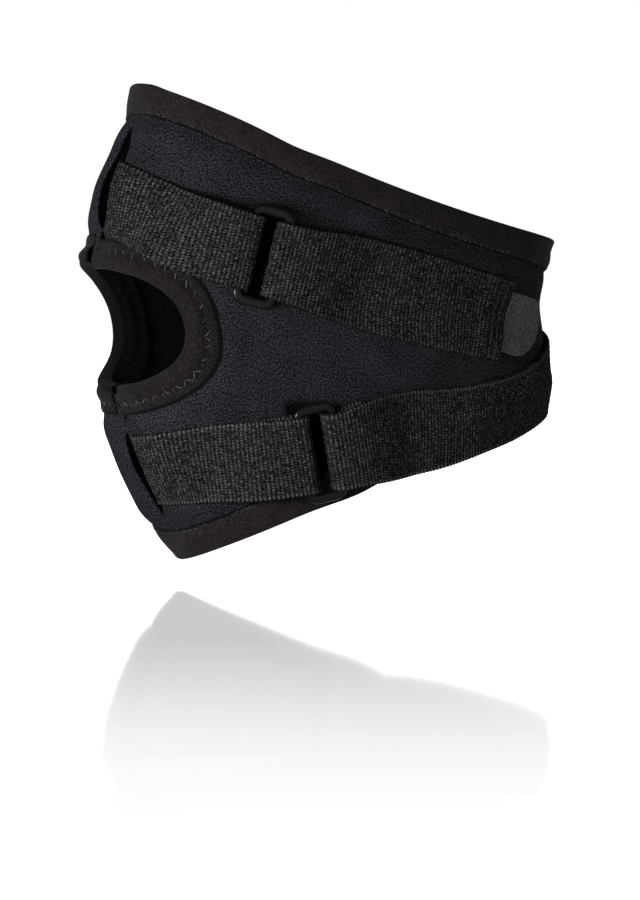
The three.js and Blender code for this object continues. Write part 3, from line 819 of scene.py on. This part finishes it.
def ribbon(name, strap, line, half_width, thick, woven, dips, material):
    """Band along a line of girth and lift, woven or plain, with round edges. dips are sewn grooves."""
    middle, along = evenly(line, RIB_PITCH / STEPS_PER_RIB)
    radius = thick / 2
    half = half_width(middle[:, 0])
    if woven:
        half = half - SELVEDGE * np.cos(2 * pi * along / RIB_PITCH)
    face = np.linspace(-1, 1, WOVEN_POINTS if woven else PLAIN_POINTS)
    back = np.linspace(1, -1, BACK_POINTS)
    arc = np.linspace(0, pi, ROUND_POINTS + 2)[1:-1]
    flat = np.zeros(len(face)), np.zeros(len(back))
    run = np.concatenate([face, np.ones(ROUND_POINTS), back, -np.ones(ROUND_POINTS)])
    bulge = np.concatenate([flat[0], np.sin(arc), flat[1], -np.sin(arc)])
    rise = np.concatenate([flat[0] + 1, np.cos(arc), flat[1] - 1, -np.cos(arc)])
    shift = (half[:, None] - radius) * run + radius * bulge
    groove = sum((GROOVE_DEPTH * hill(dip, GROOVE_WIDTH, middle[:, 0]) for dip in dips), np.zeros(len(along)))
    face_height = np.full(shift.shape, 0.5)
    if woven:
        # On the woven face this height also sets the elastic's colour: painted shade where it is low
        face_height = weave(along[:, None], shift, half[:, None], strap["edge"])
        # Round edges get a lower height, which darkens them as painted shade along the strap's edges
        face_height = face_height * np.where(bulge, ROUND_EDGE_HEIGHT_AND_SHADE, 1)
    depth = rise * (radius + RIB_HEIGHT * (face_height - 0.5) - groove[:, None] * (rise > 0))
    way = unit(np.gradient(middle, axis=0))
    girth = middle[:, :1] - way[:, 1:] * depth
    lift = middle[:, 1:] + way[:, :1] * depth
    points = strap_point(strap, girth, shift, lift)
    cloth = np.stack([np.broadcast_to(along[:, None], shift.shape), shift, face_height], axis=-1)
    faces = sweep_faces(*shift.shape, False)
    return add_mesh(name, points, faces, material, cloth)


def strap_half_width(strap):
    return lambda girth: smooth(strap["path"], "width", girth) / 2


def tab_half_width(strap):
    corner = strap["end"] + TAB_LENGTH - TAB_CORNER
    return lambda girth: TAB_WIDTH / 2 - TAB_CORNER + np.sqrt(
        np.maximum(TAB_CORNER**2 - np.clip(girth - corner, 0, TAB_CORNER) ** 2, 0)
    )


def tab_line(strap):
    girth = np.linspace(strap["end"] - TAB_UNDER, strap["end"] + TAB_LENGTH, LINE_POINTS["tab"])
    return np.stack([girth, np.full(len(girth), TAB_LIFT + TAB / 2)], axis=1)


def end_stitches(strap, rows, material):
    """Rows of stitches across the cut end of a strap."""
    reach = smooth(strap["path"], "width", float(strap["end"])) / 2 - END_MARGIN
    shifts = np.arange(-reach, reach - END_DASH, END_DASH)
    starts = np.array([(girth, shift, 0) for girth in rows for shift in shifts])
    stops = starts + np.array([0, END_DASH, 0])
    top = REST_LIFT + TAB + TAB_LIFT + STRAP / 2 - END_SINK

    def surface(girth, shift, lift):
        return strap_point(strap, girth, shift, top + lift)

    threads(strap["name"] + "_strap_stitches", starts, stops, surface, material)


def rounded_corners(width, length, corner):
    """Points of a rounded rectangle, corner by corner, with the same count in each."""
    turns = np.linspace(0, pi / 2, CORNER_POINTS)
    middles = [(1, 1), (-1, 1), (-1, -1), (1, -1)]
    points = []
    for i, (x, y) in enumerate(middles):
        angle = turns + i * pi / 2
        middle = np.array([x * (width / 2 - corner), y * (length / 2 - corner)])
        points.append(middle + corner * np.stack([np.cos(angle), np.sin(angle)], axis=1))
    return np.concatenate(points)


def loop_frame(strap, material):
    """Flat moulded loop, long across the strap, with rounded bars."""
    outside = rounded_corners(LOOP_WIDTH, LOOP_LENGTH, LOOP_CORNER)
    inside = rounded_corners(LOOP_WIDTH - 2 * LOOP_BAR, LOOP_LENGTH - 2 * LOOP_END, LOOP_CORNER - LOOP_BAR)
    turn = np.linspace(0, 2 * pi, LOOP_SIDES, endpoint=False)
    reach = squarish(np.cos(turn), LOOP_POWER)
    rise = squarish(np.sin(turn), LOOP_POWER) * LOOP_THICK / 2
    flat = mix(inside[:, None], outside[:, None], (1 + reach[None, :, None]) / 2)
    middle, _, bars, normal = loop_axes(strap)
    points = middle + np.cross(bars, normal) * flat[..., :1] + bars * flat[..., 1:] + normal * rise[:, None]
    cloth = np.concatenate([flat, np.broadcast_to(rise[:, None], flat.shape[:2] + (1,))], axis=-1)
    faces = sweep_faces(*flat.shape[:2], True)
    return add_mesh(strap["name"] + "_loop_frame", points, faces, material, cloth)


class Finish:
    """A material with short calls for its nodes."""

    def __init__(self, name, roughness, specular, sheen=0.0):
        self.material = bpy.data.materials.new(name)
        self.material.use_nodes = True
        self.nodes = self.material.node_tree.nodes
        self.links = self.material.node_tree.links
        self.surface = self.nodes["Principled BSDF"]
        looks = {"Roughness": roughness, "Specular IOR Level": specular, "Sheen Weight": sheen}
        for socket, value in looks.items():
            self.surface.inputs[socket].default_value = value

    def put(self, socket, value):
        if isinstance(value, bpy.types.NodeSocket):
            self.links.new(value, socket)
        else:
            socket.default_value = value

    def math(self, operation, *values):
        node = self.nodes.new("ShaderNodeMath")
        node.operation = operation
        for socket, value in zip(node.inputs, values):
            self.put(socket, value)
        return node.outputs[0]

    def cloth(self):
        """The place on the cloth in millimetres, whole and as its parts along, across and out."""
        place_on = self.nodes.new("ShaderNodeAttribute")
        place_on.attribute_name = "cloth"
        parts = self.nodes.new("ShaderNodeSeparateXYZ")
        self.put(parts.inputs[0], place_on.outputs["Vector"])
        return place_on.outputs["Vector"], *parts.outputs

    def noise(self, vector, scale, detail=2):
        node = self.nodes.new("ShaderNodeTexNoise")
        self.put(node.inputs["Vector"], vector)
        node.inputs["Scale"].default_value = scale
        node.inputs["Detail"].default_value = detail
        return node.outputs["Fac"]

    def speckle(self, vector, scale, detail, contrast):
        """Noise spread out to fill the range from 0 to 1."""
        spread = self.math("MULTIPLY_ADD", self.noise(vector, scale, detail), contrast, 0.5 - contrast / 2)
        return self.math("MINIMUM", self.math("MAXIMUM", spread, 0.0), 1.0)

    def weigh(self, first, first_weight, second, second_weight):
        """Two values added up, each times its weight."""
        return self.math("MULTIPLY_ADD", first, first_weight, self.math("MULTIPLY", second, second_weight))

    def wave(self, value, pitch):
        """A wave from 0 to 1."""
        turn = self.math("MULTIPLY", value, 2 * pi / pitch)
        return self.math("MULTIPLY_ADD", self.math("SINE", turn), 0.5, 0.5)

    def step(self, value, start, stop):
        """0 up to start and 1 from stop on."""
        node = self.nodes.new("ShaderNodeMapRange")
        self.put(node.inputs["Value"], value)
        node.inputs["From Min"].default_value = start
        node.inputs["From Max"].default_value = stop
        node.interpolation_type = "SMOOTHSTEP"
        return node.outputs[0]

    def shade(self, share, cover, depth):
        """A share made smaller, by up to depth, where cover is 1."""
        return self.math("MULTIPLY", share, self.math("MULTIPLY_ADD", cover, -depth, 1.0))

    def paint(self, share, first, second):
        """The base colour, from the first where share is 0 to the second where it is 1."""
        node = self.nodes.new("ShaderNodeMix")
        node.data_type = "RGBA"
        for socket, value in zip(("Factor", "A", "B"), (share, first, second)):
            self.put(node.inputs[socket], value)
        self.put(self.surface.inputs["Base Color"], node.outputs["Result"])

    def colour(self, share, colour, high, low=0):
        """A colour that runs from low times itself to high times itself with share."""
        self.paint(share, *((*(end * c for c in colour), 1) for end in (low, high)))

    def cover(self, share, colour, high, where):
        """Another colour, in proportion to share, laid over the first where the last value is 1."""
        base = self.surface.inputs["Base Color"]
        under = base.links[0].from_socket
        self.colour(share, colour, high)
        self.paint(where, under, base.links[0].from_socket)

    def bump(self, share, depth, strength):
        node = self.nodes.new("ShaderNodeBump")
        node.inputs["Strength"].default_value = strength
        node.inputs["Distance"].default_value = depth * MM
        self.put(node.inputs["Height"], share)
        self.put(self.surface.inputs["Normal"], node.outputs["Normal"])


def painted_loop_shadow(finish, strap, along, across):
    """1 on the face of the sleeve under a strap's loop, where shadow is painted, and 0 away from it."""
    girth = float(strap["loop"])
    level = smooth(strap["path"], "level", girth)
    slope = smooth(strap["path"], "level", girth + 1) - level
    turn = math.atan(slope * height(girth)) + math.radians(strap["turn"])
    beside = finish.math("SUBTRACT", along, girth)
    up = finish.math("SUBTRACT", across, (level - OPENING_LEVEL) * height(girth))
    over_bars = finish.weigh(beside, math.cos(turn), up, math.sin(turn))
    along_bars = finish.weigh(up, math.cos(turn), beside, -math.sin(turn))
    inside = 1.0
    for way, size, soft in ((over_bars, LOOP_WIDTH, 2), (along_bars, LOOP_LENGTH, 4)):
        near = finish.step(finish.math("ABSOLUTE", way), start=size / 2, stop=size / 2 - soft)
        inside = finish.math("MULTIPLY", inside, near)
    return inside


def neoprene_finish():
    """Foam faced with fine matt jersey, with painted shadow under the loops, painted shade on its lining and
    black foam.
    """
    finish = Finish("neoprene", roughness=0.9, specular=0.02)
    vector, along, across, out = finish.cloth()
    knit = finish.math("MULTIPLY", finish.wave(along, pitch=0.9), finish.wave(across, pitch=0.75))
    fuzz = finish.speckle(vector, scale=1.8, detail=3, contrast=5.5)
    patch = finish.noise(vector, scale=0.09)
    tall = finish.weigh(knit, 0.25, fuzz, 0.75)
    tone = finish.weigh(patch, 0.3, tall, 0.8)
    # Painted shade on the inside face of the wall, the lining
    tone = finish.shade(tone, finish.step(out, start=-1.2, stop=-2.8), depth=0.65)
    # Painted shadow on the sleeve under each loop, seen between its bars
    for strap in (UPPER, LOWER):
        tone = finish.shade(tone, painted_loop_shadow(finish, strap, along, across), depth=0.75)
    below_face = finish.step(out, start=-0.5, stop=-0.9)
    above_lining = finish.step(out, start=0.9 - WALL, stop=1.3 - WALL)
    tone = finish.shade(tone, finish.math("MULTIPLY", below_face, above_lining), depth=0.9)
    finish.colour(finish.math("POWER", tone, 1.7), NEOPRENE_COLOUR, high=3.4)
    finish.bump(tall, depth=0.12, strength=1.0)
    return finish.material


def binding_finish(name, light, flap, inside):
    """Smooth stretch tape, with painted shade along its sewn edge and towards the inside of the sleeve, and
    greyer on its flap.

    Across the tape, from its sewn edge outside, the flap ends at flap and the painted shade of the inside
    starts at inside.
    """
    finish = Finish(name, roughness=0.8, specular=0.04, sheen=0.01)
    vector, _, across, _ = finish.cloth()
    fuzz = finish.speckle(vector, scale=1.7, detail=3, contrast=5)
    patch = finish.speckle(vector, scale=0.12, detail=2, contrast=2.5)
    tall = finish.weigh(finish.wave(across, pitch=0.6), 0.25, fuzz, 0.75)
    tone = finish.math("MULTIPLY_ADD", patch, 0.22, finish.math("MULTIPLY_ADD", tall, 0.75, 0.08))
    # Painted shadow along the sewn edge
    tone = finish.shade(tone, finish.step(across, start=1.2, stop=0.6), depth=0.9)
    # Painted shade from inside on
    tone = finish.shade(tone, finish.step(across, start=inside, stop=inside + 2), depth=0.85)
    finish.colour(tone, BINDING_COLOUR, high=light)
    on_flap = finish.step(across, start=flap + 0.4, stop=flap - 0.4)
    finish.cover(tone, FLAP_COLOUR, high=light, where=on_flap)
    finish.bump(tall, depth=0.15, strength=0.9)
    return finish.material


def elastic_finish():
    """Woven elastic, with painted shade between the beads of its weave and painted light on them, and loose
    fibres.
    """
    finish = Finish("elastic", roughness=0.92, specular=0.02)
    vector, _, _, woven = finish.cloth()
    fuzz = finish.speckle(vector, scale=1.5, detail=2, contrast=5)
    patch = finish.noise(vector, scale=0.11)
    # The weave's height darkens the colour as painted shade in its hollows; fuzz and patch are the tape's own
    # tone
    tall = finish.weigh(woven, 0.85, fuzz, 0.32)
    tone = finish.math("MULTIPLY_ADD", patch, 0.1, tall)
    finish.colour(finish.math("POWER", tone, 1.9), ELASTIC_COLOUR, high=9.4)
    finish.bump(tall, depth=0.2, strength=0.9)
    return finish.material


def loop_finish():
    """Black moulded plastic, matt on its faces and polished round its edges."""
    finish = Finish("loop", roughness=0.25, specular=0.1)
    vector, _, _, out = finish.cloth()
    wear = finish.noise(vector, scale=0.6, detail=3)
    grit = finish.noise(vector, scale=3)
    finish.colour(wear, LOOP_COLOUR, high=1.7, low=0.6)
    matt = finish.step(out, start=0.475 * LOOP_THICK, stop=0.492 * LOOP_THICK)
    polish = finish.math("MULTIPLY_ADD", wear, 0.12, 0.06)
    finish.put(finish.surface.inputs["Roughness"], finish.math("MULTIPLY_ADD", matt, 0.6, polish))
    finish.bump(grit, depth=0.04, strength=0.4)
    return finish.material


def hook_finish():
    """Back of a woven hook tape, matt and speckled."""
    finish = Finish("hook_tape", roughness=0.9, specular=0.04)
    vector, along, across, _ = finish.cloth()
    crossing = finish.math("MULTIPLY", finish.wave(along, pitch=0.6), finish.wave(across, pitch=0.6))
    speck = finish.speckle(vector, scale=1.3, detail=3, contrast=5)
    tall = finish.weigh(crossing, 0.35, speck, 0.7)
    finish.colour(tall, HOOK_COLOUR, high=1.55, low=0.5)
    finish.bump(tall, depth=0.12, strength=0.6)
    return finish.material


def thread_finish(name, colour, fading):
    """Sewing thread with a soft lustre, which in places fades away."""
    finish = Finish(name, roughness=0.6, specular=0.15, sheen=0.02)
    vector, _, _, _ = finish.cloth()
    ply = finish.noise(vector, scale=2.4, detail=1)
    speck = finish.speckle(vector, scale=0.35, detail=1, contrast=5)
    fade = finish.math("MULTIPLY_ADD", speck, fading, 1 - fading)
    finish.colour(finish.math("MULTIPLY", ply, fade), colour, high=3.6, low=0.1)
    finish.bump(ply, depth=0.05, strength=0.5)
    return finish.material


def dress(piece, node):
    """Hides the CAD node that a piece stands for. The piece is not used."""
    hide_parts(node)


NEOPRENE = neoprene_finish()
BINDING = binding_finish("binding", light=2.2, flap=0, inside=11)
NEAR_RING = binding_finish("near_ring_binding", light=1.55, flap=3.2, inside=11)
# A darker copy of the ring's tape, its inside shade starting at the fold: painted shade where the far half
# shows through the opening
FAR_RING = binding_finish("far_ring_binding", light=1.4, flap=3.2, inside=7)
ELASTIC = elastic_finish()
MOULDED = loop_finish()
HOOK = hook_finish()
SEWING = thread_finish("thread", THREAD_COLOUR, fading=0.6)
HEM_SEWING = thread_finish("hem_thread", HEM_THREAD_COLOUR, fading=1)
INSIDE_SEWING = thread_finish("inside_thread", SHADED_INSIDE_THREAD_COLOUR, fading=1)

sleeve = sleeve_panel(NEOPRENE)
dress(sleeve, "sleeve_panel")

# Stitch lines: the way into the band of the middle of the zigzag, half its width, and its pitch
TOP_STITCH = (7.9, 0.5, 2.5)
BOTTOM_STITCH = (7.3, 0.5, 2.5)
RING_STITCH = (4.5, 1.1, 4)
near = opening_band(NEAR_HALF)
far = opening_band(FAR_HALF)
top_line = fold_line(TOP_BAND - EDGE_REACH, BAND_CROWN, TOP_BAND - EDGE_REACH)
bottom_line = fold_line(BOTTOM_BAND - EDGE_REACH, BAND_CROWN, BOTTOM_BAND - EDGE_REACH)
ring_line = fold_line(OPENING_BAND_SEAM - EDGE_REACH, RING_CROWN, RING_STITCH[0])
BANDS = (
    ("top", edge_band(1), GIRTH, top_line, TOP_STITCH, BINDING, HEM_SEWING, "top_binding"),
    ("bottom", edge_band(-1), GIRTH, bottom_line, BOTTOM_STITCH, BINDING, HEM_SEWING, "bottom_binding"),
    ("opening_near", *near, ring_line, RING_STITCH, NEAR_RING, SEWING, "opening_binding_near"),
    ("opening_far", *far, ring_line, RING_STITCH, FAR_RING, SEWING, "opening_binding_far"),
)
for name, band, length, line, stitch, tape, thread, node in BANDS:
    piece = binding(name + "_tape", band, length, line, stitch, length == GIRTH, tape)
    dress(piece, node)
    band_stitches(name + "_stitches", band, length, line, stitch, thread)

for strap in (UPPER, LOWER):
    name = strap["name"]
    half_width = strap_half_width(strap)
    rows = [strap["end"] - row for row in END_ROWS]
    anchor = ribbon(name + "_anchor", strap, anchor_line(strap), half_width, STRAP, True, (), ELASTIC)
    dress(anchor, name + "_anchor_strap")
    pull = ribbon(name + "_pull", strap, long_line(strap), half_width, STRAP, True, rows, ELASTIC)
    dress(pull, name + "_long_strap")
    tab = ribbon(name + "_tab", strap, tab_line(strap), tab_half_width(strap), TAB, False, (), HOOK)
    dress(tab, name + "_hook_tab")
    dress(loop_frame(strap, MOULDED), name + "_loop")
    end_stitches(strap, rows, HEM_SEWING)

# Floor, light and camera, with distances in metres
VIEW_TURN = math.radians(25)
VIEW_DISTANCE = 1.1
LENS = 129.8
SENSOR = 36
FLOOR_Z = -0.0817
FLOOR_REACH = 12
SKY_HEIGHTS = (0.13, 0.45)
SKY_STRENGTHS = (1, 0.12)

# Pitch of the view, from the origin's way above the picture's middle and the focal length, in pixels
VIEW_PITCH = math.atan2(120, 3245)
ahead = Vector((math.sin(VIEW_TURN), math.cos(VIEW_TURN), 0))
right = Vector((math.cos(VIEW_TURN), -math.sin(VIEW_TURN), 0))
above = Vector((0, 0, 1))


def facing(place_at, toward):
    """Matrix of a light or camera at a place, facing a way."""
    turn = toward.to_track_quat("-Z", "Y").to_matrix().to_4x4()
    return Matrix.Translation(place_at) @ turn


def add_floor():
    """Glossy floor that glows, more so away from the brace."""
    mesh = bpy.data.meshes.new("floor")
    sides = ((-1, -1), (1, -1), (1, 1), (-1, 1))
    corners = [(x * FLOOR_REACH, y * FLOOR_REACH, FLOOR_Z) for x, y in sides]
    mesh.from_pydata(corners, [], [(0, 1, 2, 3)])
    finish = Finish("floor", FLOOR_ROUGHNESS, specular=0.5)
    finish.surface.inputs["Base Color"].default_value = (*FLOOR_COLOUR, 1)
    finish.surface.inputs["Emission Color"].default_value = (1, 1, 1, 1)
    where = finish.nodes.new("ShaderNodeNewGeometry")
    distance = finish.nodes.new("ShaderNodeVectorMath")
    distance.operation = "LENGTH"
    finish.put(distance.inputs[0], where.outputs["Position"])
    away = finish.step(distance.outputs["Value"], *GLOW_REACH)
    glow = finish.math("MULTIPLY_ADD", away, FLOOR_GLOW[1] - FLOOR_GLOW[0], FLOOR_GLOW[0])
    finish.put(finish.surface.inputs["Emission Strength"], glow)
    mesh.materials.append(finish.material)
    add_object("floor", mesh)


def add_light(name, place_at, width, tall, power, glossy):
    """Oval light that faces the brace. Only a glossy one shows in reflections."""
    data = bpy.data.lights.new(name, "AREA")
    data.shape = "ELLIPSE"
    data.size = width
    data.size_y = tall
    data.energy = power
    light = add_object(name, data)
    light.matrix_world = facing(place_at, -place_at)
    light.visible_glossy = glossy


def add_world():
    """A white horizon that darkens upwards."""
    world = bpy.data.worlds.new("studio")
    world.use_nodes = True
    nodes = world.node_tree.nodes
    links = world.node_tree.links
    way = nodes.new("ShaderNodeTexCoord")
    parts = nodes.new("ShaderNodeSeparateXYZ")
    ramp = nodes.new("ShaderNodeMapRange")
    ramp.interpolation_type = "SMOOTHSTEP"
    for name, value in zip(("From Min", "From Max", "To Min", "To Max"), SKY_HEIGHTS + SKY_STRENGTHS):
        ramp.inputs[name].default_value = value
    links.new(way.outputs["Generated"], parts.inputs[0])
    links.new(parts.outputs[2], ramp.inputs["Value"])
    links.new(ramp.outputs[0], nodes["Background"].inputs["Strength"])
    nodes["Background"].inputs["Color"].default_value = (1, 1, 1, 1)
    bpy.context.scene.world = world


add_floor()
add_world()
key_place = -right * 0.255 - ahead * 0.415
fill_place = ahead * 0.75 - right * 0.3 + above * 0.4
add_light("key", key_place, width=0.3, tall=0.12, power=5.3, glossy=True)
add_light("fill", fill_place, width=0.7, tall=0.7, power=12, glossy=False)

data = bpy.data.cameras.new("camera")
data.lens = LENS
data.sensor_width = SENSOR
data.dof.use_dof = False
camera = add_object("camera", data)
camera.matrix_world = facing(
    -ahead * VIEW_DISTANCE, ahead * math.cos(VIEW_PITCH) - above * math.sin(VIEW_PITCH)
)
bpy.context.scene.camera = camera
bpy.context.scene.view_settings.view_transform = "Standard"
